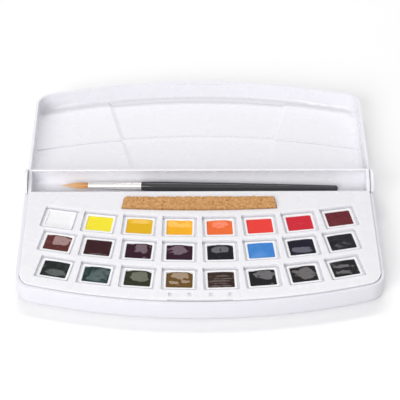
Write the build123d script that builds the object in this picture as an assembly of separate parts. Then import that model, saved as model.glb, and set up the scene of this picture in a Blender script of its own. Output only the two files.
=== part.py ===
from build123d import *

import math
import os

# A watercolour box in moulded plastic, lying open flat: the base in front of the hinge line, the lid
# behind it. X runs along the hinge, +Y points to the lid, and z = 0 is the table. The origin is the
# point of the table under the middle of the hinge line.

# Both halves share one plan, mirrored at the hinge line
HALF_WIDTH = 117.5
DEPTH = 112.0
FRONT_RADIUS = 412.0
CORNER_RADIUS = 12.5
HALF_HEIGHT = 15.6
BOTTOM_ROUND = 4.0
RIM_GAP = 0.1
JOIN = 0.1
MARGIN = 5.0

# Hinge: a trough that is also the barrel, the lid's curved back edge under it, and an ear at each end
HINGE_Z = HALF_HEIGHT
TROUGH_RADIUS = 8.1
TROUGH_WALL = 1.4
TROUGH_REAR_ANGLE = 51.0
TROUGH_LIP_ROUND = 2.4
TROUGH_HALF_LENGTH = 113.5
TROUGH_MOUTH = -7.1
END_WALL = 2.2
EAR_RADIUS = 9.7
EAR_THICK = 2.3
EAR_GAP = 0.4
EAR_ROUND = 0.9
PIN_RADIUS = 2.5
PIN_GAP = 0.3
PIN_SHORT = 0.4
CURL_INNER = 9.9
CURL_WALL = 1.4
CURL_START = 215.0
CURL_END = 255.0
CURL_HALF_LENGTH = 114.7
SLOPE_REACH = 40.0
SLOPE_START = 6.0

# Base shell
SHELL_WALL = 2.15
SHELL_FLOOR = 1.6
SHELL_REAR = -1.0
SHELL_RIM_ROUND = 0.5
CAVITY_REAR = -5.0
GUTTER_INNER = 12.0
GUTTER_WALL = 1.5
NOTCH_RADIUS = 10.1
RIB_TOP = 13.4
RIB_THICK = 1.5
RIB_REACH = 3.0
FRONT_RIB_X = (-75.0, -45.0, -15.0, 15.0, 45.0, 75.0)
SIDE_RIB_Y = (-78.0, -56.0, -34.0)
FOOT_SPAN = (196.0, 62.0)
FOOT_CORNER = 6.0
FOOT_DEPTH = 0.4

# Tray that closes the base and holds the pans
TRAY_INSET = 2.45
TRAY_TOP = 16.8
TRAY_THICK = 1.8
SKIRT_WALL = 1.4
SKIRT_REAR = -16.1
LATCH_HALF_WIDTH = 20.5
LATCH_RELIEF = 0.6
LATCH_SLOTS = (-18.9, -6.7, 6.7, 18.9)
LATCH_SLOT_SIZE = (2.3, 3.4)
LATCH_SLOT_DEPTH = 0.9
LATCH_SLOT_Y = -104.6

# Pans stand in three bowed rows of eight, front row last
COLUMNS = 8
COLUMN_PITCH = 26.45
ROW_Y = (-43.4, -66.4, -90.9)
ROW_RADIUS = (510.0, 465.0, 430.0)
FRAME_SIZE = (23.0, 19.8)
FRAME_DEPTH = 2.4
FRAME_ROUND = 1.0
CUP_OPENING = (19.0, 15.7)
CUP_WALL = 1.2
CUP_FLOOR = 1.2
CUP_SPARE = 0.2
PAN_RIM = (19.75, 16.4)
PAN_RIM_THICK = 1.2
PAN_BODY_TOP = (18.5, 15.2)
PAN_BODY_BOTTOM = (16.9, 13.6)
PAN_INSIDE_TOP = (17.0, 13.7)
PAN_INSIDE_BOTTOM = (15.6, 12.3)
PAN_BODY_DEPTH = 8.6
PAN_FLOOR = 1.0
PAN_CORNER = 0.9
PAN_FOOT_GAP = 0.3

# Paint: how far its middle and its edges lie below the pan's rim, row by row from the rear
FULL = (0.4, 0.7)
DOMED = (0.2, 1.6)
HOLLOW = (1.8, 0.8)
PAINT_LEVELS = (
    (FULL, FULL, DOMED, HOLLOW, DOMED, FULL, FULL, HOLLOW),
    (HOLLOW, FULL, FULL, HOLLOW, DOMED, FULL, FULL, HOLLOW),
    (FULL, FULL, DOMED, DOMED, FULL, FULL, HOLLOW, FULL),
)

# Lid palette
LID_WALL = 1.8
LID_FLOOR = 2.6
WELL_DEPTH = 1.2
WELL_SLOPE = 3.2
WELL_FLARE = 0.2506
WELL_HALF_WIDTH = 40.8
WELL_REAR = 17.0
WELL_FRONT = 108.6
WELL_REAR_RADIUS = 4000.0
DIVIDER_Y = 63.0
DIVIDER_RADIUS = 486.0
DIVIDER_CREST = 0.6
RIB_HEIGHT = 0.8
RIB_WIDTH = 1.0
BEAD_RADIUS = 0.9
BEAD_STAND = 0.35
BEAD_BELOW_RIM = 1.3

# Sponge, a strip that lies between the pans and the trough
SPONGE_LENGTH = 103.0
SPONGE_WIDTH = 11.4
SPONGE_FRONT_Y = -27.6
SPONGE_RADIUS = 800.0
SPONGE_FLARE = 8.0
SPONGE_TOP = 19.0
SPONGE_BED = 14.2
SPONGE_GAP = 0.5
SPONGE_ROUND = 1.0
SPONGE_CUP_WALL = 1.6

# Brush, from the point of its hair at x = 0 along +X
BRUSH_LENGTH = 190.0
HAIR_LENGTH = 19.2
FERRULE_END = 55.4
FERRULE_RADII = (2.25, 3.0)
FERRULE_WALL = 0.35
CRIMPS = (49.4, 53.2)
CRIMP_DEPTH = 0.22
CRIMP_RADIUS = 0.5
HANDLE_BELLY_X = 70.0
HANDLE_BELLY_RADIUS = 3.4
HANDLE_TAIL_RADIUS = 2.15
BELLY_SWELL = 0.12
TAPER_SWELL = 0.15
TENON_LENGTH = 14.0
TENON_TAPER = 0.2
BRUSH_TIP = (-94.9, 1.8, 12.25)
BRUSH_TAIL = (95.1, 0.0, 10.25)
STRANDS = 300
STRAND_RADIUS = 0.085
STRAND_TIP = 0.03
OUTER_STRAND_CUT = 0.62
HAIR_SLICE = 1.2
HAIR_GAP = 0.02
STRAND_GAP = 0.03


def hinge_plane(x: float) -> Plane:
    """Plane across the hinge line at x, whose axes are +Y and +Z and whose origin is on the line."""
    return Plane(origin=(x, 0, HINGE_Z), x_dir=(0, 1, 0), z_dir=(1, 0, 0))


def along_hinge(section: Sketch, start: float, end: float) -> Part:
    """Bar of a side view's section, drawn about the hinge line, from start to end along X."""
    return extrude(hinge_plane(start) * section, end - start, dir=(1, 0, 0))


def hinge_rod(radius: float, start: float, end: float) -> Part:
    """Round bar about the hinge line from start to end along X."""
    return along_hinge(Circle(radius), start, end)


def box_plan(inset: float, rear: float) -> Sketch:
    """Plan of the base from y = rear to its bowed front, drawn in on its three walls by inset."""
    half = HALF_WIDTH - inset
    radius = FRONT_RADIUS - inset
    front = inset - DEPTH
    side = front + radius - math.sqrt(radius**2 - half**2)
    outline = Polyline((-half, side), (-half, rear), (half, rear), (half, side))
    outline += ThreePointArc((half, side), (0, front), (-half, side))
    plan = make_face(outline)
    return fillet(plan.vertices().group_by(Axis.Y)[0], CORNER_RADIUS - inset)


def lid_plan(inset: float, rear: float) -> Sketch:
    """Plan of the lid as it lies open, the base's plan turned over the hinge line."""
    return mirror(box_plan(inset, -rear), Plane.XZ)


def bottom_run(body: Part, rear: float) -> ShapeList:
    """Edges round the underside of a half, without the straight one at its rear."""
    edges = body.edges().group_by(Axis.Z)[0]
    return edges.filter_by(lambda edge: abs(edge.center().Y - rear) > 0.01)


def row_place(row: int, column: int) -> Location:
    """Place of a pan at the level of the tray's top, turned to the bow of its row."""
    x = (column - (COLUMNS - 1) / 2) * COLUMN_PITCH
    turn = math.asin(x / ROW_RADIUS[row])
    y = ROW_Y[row] + ROW_RADIUS[row] * (1 - math.cos(turn))
    return Location((x, y, TRAY_TOP), (0, 0, math.degrees(turn)))


def pan_places() -> list[Location]:
    """Places of all the pans, from the rear left to the front right."""
    return [row_place(row, column) for row in range(len(ROW_Y)) for column in range(COLUMNS)]


def block(size: tuple[float, float], bottom: float, top: float, corner: float = 0.0) -> Part:
    """Upright block, its corners rounded when a corner radius is given."""
    plan = RectangleRounded(*size, corner) if corner else Rectangle(*size)
    return extrude(Pos(0, 0, bottom) * plan, top - bottom)


def funnel(low: tuple[float, float], high: tuple[float, float], bottom: float, top: float) -> Part:
    """Tapered block with chamfered corners from a low rectangle to a high one."""
    plans = []
    for size, z in ((low, bottom), (high, top)):
        plan = Rectangle(*size)
        plans.append(Pos(0, 0, z) * chamfer(plan.vertices(), PAN_CORNER))
    return loft(plans, ruled=True)


def sponge_plan(gap: float) -> Sketch:
    """Plan of the sponge, a strip with a bowed front and flared ends, grown by gap."""
    half = SPONGE_LENGTH / 2
    rear = SPONGE_FRONT_Y + SPONGE_WIDTH
    rise = SPONGE_RADIUS - math.sqrt(SPONGE_RADIUS**2 - half**2)
    lean = (SPONGE_WIDTH - rise) * math.tan(math.radians(SPONGE_FLARE))
    front_y = SPONGE_FRONT_Y + rise
    outline = Polyline((half, front_y), (half - lean, rear), (lean - half, rear), (-half, front_y))
    outline += ThreePointArc((-half, front_y), (0, SPONGE_FRONT_Y), (half, front_y))
    plan = make_face(outline)
    return offset(plan, gap, kind=Kind.INTERSECTION) if gap else plan


def make_base_shell() -> Part:
    """Outer tub of the base: bowed wall, ledge for the lid's rim, gutter under the hinge."""
    tub = extrude(box_plan(0, SHELL_REAR), HALF_HEIGHT)
    tub = fillet(bottom_run(tub, SHELL_REAR), BOTTOM_ROUND)
    rim = tub.edges().group_by(Axis.Z)[-1].filter_by(lambda edge: edge.center().Y < SHELL_REAR - 1)
    tub = fillet(rim, SHELL_RIM_ROUND)
    cavity = extrude(Pos(0, 0, SHELL_FLOOR) * box_plan(SHELL_WALL, CAVITY_REAR), HALF_HEIGHT)
    cavity = fillet(bottom_run(cavity, CAVITY_REAR), BOTTOM_ROUND - SHELL_WALL)
    inside = HALF_WIDTH - SHELL_WALL
    cavity -= hinge_rod(GUTTER_INNER + GUTTER_WALL, -inside, inside)
    shell = tub - cavity - hinge_rod(GUTTER_INNER, -inside, inside)
    shell -= hinge_rod(NOTCH_RADIUS, -HALF_WIDTH - MARGIN, HALF_WIDTH + MARGIN)
    gutter_trim = Pos(0, CAVITY_REAR, RIB_TOP + HALF_HEIGHT / 2)
    shell -= gutter_trim * Box(2 * inside, 2 * (GUTTER_INNER + GUTTER_WALL), HALF_HEIGHT)
    return shell + support_ribs() - foot_recess()


def support_ribs() -> Part:
    """Ribs on the inner face of the base's wall, which the tray's skirt stands on."""
    reach = box_plan(SHELL_WALL - JOIN, CAVITY_REAR) - box_plan(SHELL_WALL + RIB_REACH, CAVITY_REAR)
    strips = Sketch()
    for x in FRONT_RIB_X:
        strips += Pos(x, -DEPTH) * Rectangle(RIB_THICK, DEPTH / 2)
    for side in (-1, 1):
        for y in SIDE_RIB_Y:
            strips += Pos(side * HALF_WIDTH, y) * Rectangle(4 * RIB_REACH, RIB_THICK)
    lift = Pos(0, 0, SHELL_FLOOR - JOIN)
    return extrude(lift * (reach & strips), RIB_TOP - SHELL_FLOOR + JOIN)


def foot_recess() -> Part:
    """Shallow panel in the underside, so that the base stands on a broad border."""
    panel = Pos(0, -DEPTH / 2) * RectangleRounded(*FOOT_SPAN, FOOT_CORNER)
    return extrude(panel, FOOT_DEPTH)


def make_pan_tray() -> Part:
    """White insert: deck, stepped sockets with their cups, sponge bed and the trough of the hinge."""
    deck_bottom = TRAY_TOP - TRAY_THICK
    deck = extrude(Pos(0, 0, deck_bottom) * box_plan(TRAY_INSET, -TROUGH_RADIUS), TRAY_THICK)
    tray = deck + tray_skirt(deck_bottom) + trough()
    tray -= hinge_rod(TROUGH_RADIUS, -TROUGH_HALF_LENGTH, TROUGH_HALF_LENGTH)
    tray += sponge_cup(deck_bottom)
    for place in pan_places():
        tray += place * socket_cup()
    for place in pan_places():
        tray -= place * socket_hollow()
    tray -= extrude(Pos(0, 0, SPONGE_BED) * sponge_plan(SPONGE_GAP), TRAY_TOP)
    return tray - latch_slots() - lip_round()


def lip_round() -> Part:
    """What is cut away where the deck rolls over into the trough."""
    deck = TRAY_TOP - HINGE_Z
    level = deck - TROUGH_LIP_ROUND
    reach = TROUGH_RADIUS + TROUGH_LIP_ROUND
    centre = Vector(-math.sqrt(reach**2 - level**2), level)
    meet = centre * (TROUGH_RADIUS / reach)
    above = deck + 1
    outline = ((centre.X, deck), (centre.X, above), (TROUGH_MOUTH, above), (TROUGH_MOUTH, meet.Y), meet)
    corner = Polygon(*outline, align=None)
    section = corner - Pos(centre.X, centre.Y) * Circle(TROUGH_LIP_ROUND)
    return along_hinge(section, -TROUGH_HALF_LENGTH, TROUGH_HALF_LENGTH)


def tray_skirt(top: float) -> Part:
    """Wall under the deck's border that stands on the ribs of the shell."""
    ring = box_plan(TRAY_INSET, SKIRT_REAR) - box_plan(TRAY_INSET + SKIRT_WALL, SKIRT_REAR + 1)
    return extrude(Pos(0, 0, RIB_TOP) * ring, top - RIB_TOP + JOIN)


def trough() -> Part:
    """Barrel of the hinge, open at the top for the brush, with end discs and the two hinge pins."""
    middle = TROUGH_RADIUS + TROUGH_WALL / 2
    sweep = CenterArc((0, 0), middle, 180, 180 + TROUGH_REAR_ANGLE)
    end = TROUGH_HALF_LENGTH + END_WALL
    barrel = along_hinge(SlotArc(sweep, TROUGH_WALL), -end, end)
    outer = TROUGH_RADIUS + TROUGH_WALL
    angle = math.radians(TROUGH_REAR_ANGLE)
    rear = (outer * math.cos(angle), outer * math.sin(angle))
    front = (-outer, TRAY_TOP - HINGE_Z)
    below = Polygon(front, (-outer, -outer), (outer, -outer), (outer, 0), rear, align=None)
    for side in (-1, 1):
        barrel += along_hinge(Circle(outer) & below, *sorted((side * (end - END_WALL), side * end)))
        tip = side * (end + EAR_GAP + EAR_THICK - PIN_SHORT)
        barrel += hinge_rod(PIN_RADIUS, *sorted((side * (end - END_WALL / 2), tip)))
    return barrel


def socket_cup() -> Part:
    """Cup that hangs under the deck round one pan, wider at the top round the recess for its rim."""
    body, recess = (tuple(side + 2 * CUP_WALL for side in size) for size in (CUP_OPENING, FRAME_SIZE))
    depth = FRAME_DEPTH + PAN_BODY_DEPTH + CUP_FLOOR + CUP_SPARE
    cup = block(body, -depth, -FRAME_DEPTH)
    return cup + block(recess, -FRAME_DEPTH - CUP_FLOOR, -TRAY_THICK / 2)


def socket_hollow() -> Part:
    """Recess for the pan's rim, and the opening under it for the pan's body."""
    frame = block(FRAME_SIZE, -FRAME_DEPTH, 1, FRAME_ROUND)
    return frame + block(CUP_OPENING, -FRAME_DEPTH - PAN_BODY_DEPTH - CUP_SPARE, 1)


def sponge_cup(deck_bottom: float) -> Part:
    """Thick place under the deck that carries the sponge's bed."""
    bottom = SPONGE_BED - SKIRT_WALL
    return extrude(Pos(0, 0, bottom) * sponge_plan(SPONGE_CUP_WALL), deck_bottom - bottom + TRAY_THICK / 3)


def latch_slots() -> Part:
    """Shallow marks in the deck and the relief that frees its front edge to spring over the lid's bead."""
    slots = Part()
    for x in LATCH_SLOTS:
        slots += Pos(x, LATCH_SLOT_Y, TRAY_TOP) * Box(*LATCH_SLOT_SIZE, 2 * LATCH_SLOT_DEPTH)
    band = box_plan(0, -TROUGH_RADIUS) - box_plan(TRAY_INSET + LATCH_RELIEF, -TROUGH_RADIUS)
    band &= Pos(0, -DEPTH) * Rectangle(2 * LATCH_HALF_WIDTH, 20)
    return slots + extrude(Pos(0, 0, RIB_TOP - 1) * band, TRAY_TOP)


def make_half_pan() -> Part:
    """Plastic half pan: flanged rim, tapered body, open inside; the origin is over it at the deck level."""
    rim_top = PAN_RIM_THICK - FRAME_DEPTH
    pan = block(PAN_RIM, -FRAME_DEPTH, rim_top, PAN_CORNER)
    pan += funnel(PAN_BODY_BOTTOM, PAN_BODY_TOP, PAN_FOOT_GAP - FRAME_DEPTH - PAN_BODY_DEPTH, -FRAME_DEPTH)
    return pan - pan_inside(rim_top)


def pan_inside(top: float) -> Part:
    """Room inside a pan from its floor up to top, which may stand above the rim."""
    floor = PAN_FOOT_GAP + PAN_FLOOR - FRAME_DEPTH - PAN_BODY_DEPTH
    return funnel(PAN_INSIDE_BOTTOM, PAN_INSIDE_TOP, floor, top)


def make_paint(levels: tuple[float, float]) -> Part:
    """Cake of paint that fills a pan to a domed, level or hollow top."""
    middle, edge = levels
    rim_top = PAN_RIM_THICK - FRAME_DEPTH
    half = PAN_RIM[0] / 2
    floor = rim_top - PAN_BODY_DEPTH - PAN_RIM_THICK
    outline = Polyline((half, rim_top - edge), (half, floor), (-half, floor), (-half, rim_top - edge))
    outline += ThreePointArc((-half, rim_top - edge), (0, rim_top - middle), (half, rim_top - edge))
    fill = extrude(Plane.XZ * make_face(outline), PAN_RIM[1], both=True)
    return pan_inside(rim_top) & fill


def make_lid() -> Part:
    """Lid as it lies open: walls, mixing wells, the curl of its back edge and the two ears."""
    rim = HALF_HEIGHT - RIM_GAP
    bowl = extrude(lid_plan(0, 0), rim)
    bowl = fillet(bottom_run(bowl, 0), BOTTOM_ROUND)
    bowl &= along_hinge(lid_profile(), -HALF_WIDTH, HALF_WIDTH)
    hollow = extrude(Pos(0, 0, LID_FLOOR) * lid_plan(LID_WALL, -1), HALF_HEIGHT)
    front_run = hollow.edges().group_by(Axis.Z)[0].filter_by(lambda edge: edge.center().Y > 0)
    hollow = fillet(front_run, BOTTOM_ROUND - LID_WALL)
    hollow &= along_hinge(lid_room(), -HALF_WIDTH, HALF_WIDTH)
    lid = bowl - hollow + along_hinge(lid_curl(), -CURL_HALF_LENGTH, CURL_HALF_LENGTH)
    inner_face = TROUGH_HALF_LENGTH + END_WALL + EAR_GAP
    lid -= hinge_rod(CURL_INNER, -inner_face, inner_face)
    lid = lid - wells() + side_ribs() + latch_bead()
    for side in (-1, 1):
        lid += ear(side, inner_face)
    for side in (-1, 1):
        lid -= hinge_rod(PIN_RADIUS + PIN_GAP, *sorted((side * inner_face, side * (HALF_WIDTH + MARGIN))))
    return lid


def ramp_line(radius: float) -> tuple[Vector, Vector]:
    """Start at the curl's end and the point far down the slope, for the slope's face at this radius."""
    end = math.radians(CURL_END)
    start = Vector(radius * math.cos(end), radius * math.sin(end))
    down = Vector(-math.sin(end), math.cos(end))
    return start, start + down * SLOPE_REACH


def lid_profile() -> Sketch:
    """Side view of the lid's outside: sloping up from the table to the curl under the barrel."""
    start, far = ramp_line(CURL_INNER + CURL_WALL)
    front = DEPTH + MARGIN
    return Polygon(start, far, (front, far.Y), (front, 0), (0, 0), (start.X, 0), align=None)


def lid_room() -> Sketch:
    """Side view of the room inside the lid above its slope."""
    start, far = ramp_line(CURL_INNER)
    front = DEPTH + MARGIN
    return Polygon(start, far, (front, far.Y), (front, front), (start.X, front), align=None)


def lid_curl() -> Sketch:
    """Side view of the curled back edge and of the slope's part in front of the hinge line."""
    middle = CURL_INNER + CURL_WALL / 2
    curl = SlotArc(CenterArc((0, 0), middle, CURL_START, CURL_END - CURL_START), CURL_WALL)
    inner, inner_far = ramp_line(CURL_INNER)
    outer = ramp_line(CURL_INNER + CURL_WALL)[0]
    run = (inner_far - inner) * (SLOPE_START / SLOPE_REACH)
    slope = Polygon(inner, inner + run, outer + run, outer, align=None)
    return curl + slope


def bow_y(x: float, middle: float, radius: float) -> float:
    """Height of a bow, highest in the middle, at x."""
    return middle - radius + math.sqrt(radius**2 - x**2)


def well_plan(low: tuple[float, float], high: tuple[float, float], draw_in: float) -> Sketch:
    """Plan of a middle well between two bows, each given as its y and radius, drawn in all round."""
    side = []
    lean = math.sqrt(1 + WELL_FLARE**2)
    for middle, radius in (low, high):
        x = WELL_HALF_WIDTH + WELL_FLARE * middle - draw_in * lean
        for _ in range(3):
            x = WELL_HALF_WIDTH + WELL_FLARE * bow_y(x, middle, radius) - draw_in * lean
        side.append((x, bow_y(x, middle, radius)))
    (x_low, y_low), (x_high, y_high) = side
    outline = ThreePointArc((-x_low, y_low), (0, low[0]), (x_low, y_low))
    outline += Line((x_low, y_low), (x_high, y_high))
    outline += ThreePointArc((x_high, y_high), (0, high[0]), (-x_high, y_high))
    outline += Line((-x_high, y_high), (-x_low, y_low))
    return make_face(outline)


def wells() -> Part:
    """The two middle wells, sunk into the floor with sloping sides."""
    sunk = Part()
    bows = (
        ((WELL_REAR, WELL_REAR_RADIUS), (DIVIDER_Y - DIVIDER_CREST / 2, DIVIDER_RADIUS)),
        ((DIVIDER_Y + DIVIDER_CREST / 2, DIVIDER_RADIUS), (WELL_FRONT, FRONT_RADIUS)),
    )
    for (low_y, low_radius), (high_y, high_radius) in bows:
        top = well_plan((low_y, low_radius), (high_y, high_radius), 0)
        low = (low_y + WELL_SLOPE, low_radius)
        high = (high_y - WELL_SLOPE, high_radius)
        bottom = well_plan(low, high, WELL_SLOPE)
        sunk += loft([Pos(0, 0, LID_FLOOR - WELL_DEPTH) * bottom, Pos(0, 0, LID_FLOOR) * top], ruled=True)
    return sunk


def side_ribs() -> Part:
    """Low bowed ribs that part the two side panels into two wells each."""
    bow = Pos(0, DIVIDER_Y - DIVIDER_RADIUS) * Circle(DIVIDER_RADIUS + RIB_WIDTH / 2)
    bow -= Pos(0, DIVIDER_Y - DIVIDER_RADIUS) * Circle(DIVIDER_RADIUS - RIB_WIDTH / 2)
    ribs = Sketch()
    inner = WELL_HALF_WIDTH + WELL_FLARE * DIVIDER_Y - 1
    for side in (-1, 1):
        middle = (inner + HALF_WIDTH - LID_WALL) / 2
        length = HALF_WIDTH - LID_WALL - inner + 1
        ribs += bow & Pos(side * middle, DIVIDER_Y) * Rectangle(length, DEPTH / 2)
    return extrude(Pos(0, 0, LID_FLOOR - JOIN) * ribs, RIB_HEIGHT + JOIN)


def latch_bead() -> Part:
    """Bead inside the front wall that the tray's sprung edge snaps over."""
    inner_radius = FRONT_RADIUS - LID_WALL
    height = HALF_HEIGHT - BEAD_BELOW_RIM
    path_radius = inner_radius + BEAD_RADIUS - BEAD_STAND
    centre_y = DEPTH - FRONT_RADIUS
    turn = math.degrees(math.asin(LATCH_HALF_WIDTH / path_radius))
    start = math.radians(90 - turn)
    profile_plane = Plane(
        origin=(path_radius * math.cos(start), centre_y + path_radius * math.sin(start), height),
        x_dir=(math.cos(start), math.sin(start), 0),
        z_dir=(-math.sin(start), math.cos(start), 0),
    )
    axis = Axis((0, centre_y, 0), (0, 0, 1))
    return revolve(profile_plane * Circle(BEAD_RADIUS), axis, 2 * turn)


def ear(side: int, inner_face: float) -> Part:
    """Round ear at one end of the lid, with its outer edge rounded."""
    near, far = sorted((side * inner_face, side * (inner_face + EAR_THICK)))
    disc = hinge_rod(EAR_RADIUS, near, far)
    outer = disc.edges().sort_by(Axis.X)[-1 if side > 0 else 0]
    return fillet(outer, EAR_ROUND)


def brush_place() -> Location:
    """Where the brush lies in the trough: its heavy belly and its tail on the bottom."""
    tip = Vector(*BRUSH_TIP)
    along = (Vector(*BRUSH_TAIL) - tip).normalized()
    return Plane(origin=tip, x_dir=along, z_dir=along.cross(Vector(0, 1, 0))).location


def turned(profile: Curve) -> Part:
    """Round solid from half a lengthwise profile above the X axis."""
    return revolve(make_face(profile), Axis.X)


def make_brush_handle() -> Part:
    """Lacquered handle with its belly near the ferrule, a long taper and a tenon in the ferrule."""
    entry = FERRULE_RADII[1]
    tenon = entry - FERRULE_WALL
    start = FERRULE_END - TENON_LENGTH
    tail = BRUSH_LENGTH - HANDLE_TAIL_RADIUS
    taper_mid = ((HANDLE_BELLY_X + tail) / 2, (HANDLE_BELLY_RADIUS + HANDLE_TAIL_RADIUS) / 2 + TAPER_SWELL)
    profile = Polyline((start, 0), (start, tenon - TENON_TAPER), (FERRULE_END, tenon), (FERRULE_END, entry))
    belly_mid = ((FERRULE_END + HANDLE_BELLY_X) / 2, HANDLE_BELLY_RADIUS - BELLY_SWELL)
    profile += ThreePointArc((FERRULE_END, entry), belly_mid, (HANDLE_BELLY_X, HANDLE_BELLY_RADIUS))
    profile += ThreePointArc((HANDLE_BELLY_X, HANDLE_BELLY_RADIUS), taper_mid, (tail, HANDLE_TAIL_RADIUS))
    diagonal = HANDLE_TAIL_RADIUS * math.sqrt(0.5)
    profile += ThreePointArc((tail, HANDLE_TAIL_RADIUS), (tail + diagonal, diagonal), (BRUSH_LENGTH, 0))
    profile += Line((BRUSH_LENGTH, 0), (start, 0))
    return turned(profile)


def make_brush_ferrule() -> Part:
    """Tapered metal tube with two crimps near the handle."""
    mouth, entry = FERRULE_RADII
    slope = (entry - mouth) / (FERRULE_END - HAIR_LENGTH)
    outline = Polyline(
        (HAIR_LENGTH, mouth - FERRULE_WALL),
        (HAIR_LENGTH, mouth),
        (FERRULE_END, entry),
        (FERRULE_END, entry - FERRULE_WALL),
        (FERRULE_END - TENON_LENGTH, entry - FERRULE_WALL - TENON_TAPER),
        (HAIR_LENGTH, mouth - FERRULE_WALL),
    )
    tube = turned(outline)
    for x in CRIMPS:
        radius = mouth + slope * (x - HAIR_LENGTH)
        groove = Pos(x, radius + CRIMP_RADIUS - CRIMP_DEPTH) * Circle(CRIMP_RADIUS)
        tube -= revolve(groove, Axis.X)
    return tube


def strand(base: Vector, length: float) -> Part:
    """One hair: a slender three-sided spike that starts inside the gripped slice."""
    root = Plane(origin=(HAIR_LENGTH + HAIR_SLICE / 2, base.X, base.Y), z_dir=(-1, 0, 0))
    ends = [root * RegularPolygon(STRAND_RADIUS, 3)]
    ends.append(root.offset(length + HAIR_SLICE / 2) * RegularPolygon(STRAND_TIP, 3))
    return loft(ends, ruled=True)


def make_brush_hair() -> Part:
    """Pointed tuft of strands, the middle ones the longest, on the slice of hair that the ferrule grips."""
    grip = FERRULE_RADII[0] - FERRULE_WALL
    gripped = Plane(origin=(HAIR_LENGTH, 0, 0), z_dir=(1, 0, 0)) * Circle(grip - HAIR_GAP)
    slice_of_hair = extrude(gripped, HAIR_SLICE)
    golden = math.pi * (3 - math.sqrt(5))
    strands = []
    for index in range(STRANDS):
        share = math.sqrt((index + 0.5) / STRANDS)
        radius = (grip - STRAND_RADIUS - STRAND_GAP) * share
        base = Vector(radius * math.cos(index * golden), radius * math.sin(index * golden))
        strands.append(strand(base, HAIR_LENGTH * (1 - OUTER_STRAND_CUT * share**1.5)))
    return slice_of_hair.fuse(*strands)


def make_sponge() -> Part:
    """Plain strip of sponge in its bed, with a softly rounded top."""
    strip = extrude(Pos(0, 0, SPONGE_BED) * sponge_plan(0), SPONGE_TOP - SPONGE_BED)
    return fillet(strip.edges().group_by(Axis.Z)[-1], SPONGE_ROUND)


def main() -> None:
    """Makes each piece in its place and writes it to its own file."""
    os.makedirs("parts", exist_ok=True)
    pieces = {
        "base_shell": make_base_shell(),
        "pan_tray": make_pan_tray(),
        "lid_palette": make_lid(),
        "sponge": make_sponge(),
        "brush_handle": brush_place() * make_brush_handle(),
        "brush_ferrule": brush_place() * make_brush_ferrule(),
        "brush_hair": brush_place() * make_brush_hair(),
    }
    pan = make_half_pan()
    levels = [level for row in PAINT_LEVELS for level in row]
    for number, (place, level) in enumerate(zip(pan_places(), levels), start=1):
        pieces[f"half_pan_{number:02d}"] = place * pan
        pieces[f"paint_{number:02d}"] = place * make_paint(level)
    for name, piece in pieces.items():
        export_step(piece, f"parts/{name}.step")


main()
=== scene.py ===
"""Looks of a watercolour box that lies open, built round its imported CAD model.

The moulded box, the brush's handle and its ferrule are the CAD nodes with their finishes. The
half pans, the cakes of paint, the sponge and the brush's hair are modelled here in their places.
"""
import logging
import math
import random
from collections.abc import Callable, Iterator
from contextlib import contextmanager
from dataclasses import dataclass
from enum import Enum
from functools import cached_property

import bpy
import numpy as np
from mathutils import Matrix, Vector, noise


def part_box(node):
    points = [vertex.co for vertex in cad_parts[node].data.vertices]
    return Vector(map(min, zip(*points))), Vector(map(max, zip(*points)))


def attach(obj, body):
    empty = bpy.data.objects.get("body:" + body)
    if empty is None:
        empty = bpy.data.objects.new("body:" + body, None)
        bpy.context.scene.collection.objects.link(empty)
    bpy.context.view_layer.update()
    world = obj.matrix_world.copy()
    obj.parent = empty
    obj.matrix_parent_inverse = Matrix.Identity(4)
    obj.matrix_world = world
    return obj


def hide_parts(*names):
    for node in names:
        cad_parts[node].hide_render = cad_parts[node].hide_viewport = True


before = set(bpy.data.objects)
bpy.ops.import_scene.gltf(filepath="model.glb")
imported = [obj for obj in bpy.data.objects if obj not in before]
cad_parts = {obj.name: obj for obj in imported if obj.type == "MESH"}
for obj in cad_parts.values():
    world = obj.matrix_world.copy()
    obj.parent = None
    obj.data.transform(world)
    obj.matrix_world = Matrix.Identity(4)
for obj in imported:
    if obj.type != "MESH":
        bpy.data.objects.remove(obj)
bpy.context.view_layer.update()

LOG = logging.getLogger("paint_set")
MM = 0.001
# The sponge's depth attribute, which its material turns into painted shade inside the pores.
PORE_SHADE_ATTRIBUTE = "pore"
PAN_INSIDE = (17.0, 13.7)
PAN_FLOOR_INSIDE = (15.6, 12.3)
MIX_SHARE, MIX_FIRST, MIX_SECOND, MIX_RESULT = 0, 6, 7, 2

Pair = tuple[float, float]
Triple = tuple[float, float, float]
Colour = Triple
Material = bpy.types.Material
Piece = bpy.types.Object
Socket = bpy.types.NodeSocket


def linear(red: int, green: int, blue: int) -> Colour:
    """Turns an sRGB colour, 0 to 255, into the shader's linear one."""

    def channel(value: int) -> float:
        """Linear value of one channel."""
        share = value / 255
        return share / 12.92 if share <= 0.04045 else ((share + 0.055) / 1.055) ** 2.4

    return channel(red), channel(green), channel(blue)


class Sum(Enum):
    """Ways to combine two values."""

    ADD = "ADD"
    MULTIPLY = "MULTIPLY"
    GREATER = "MAXIMUM"


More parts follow.
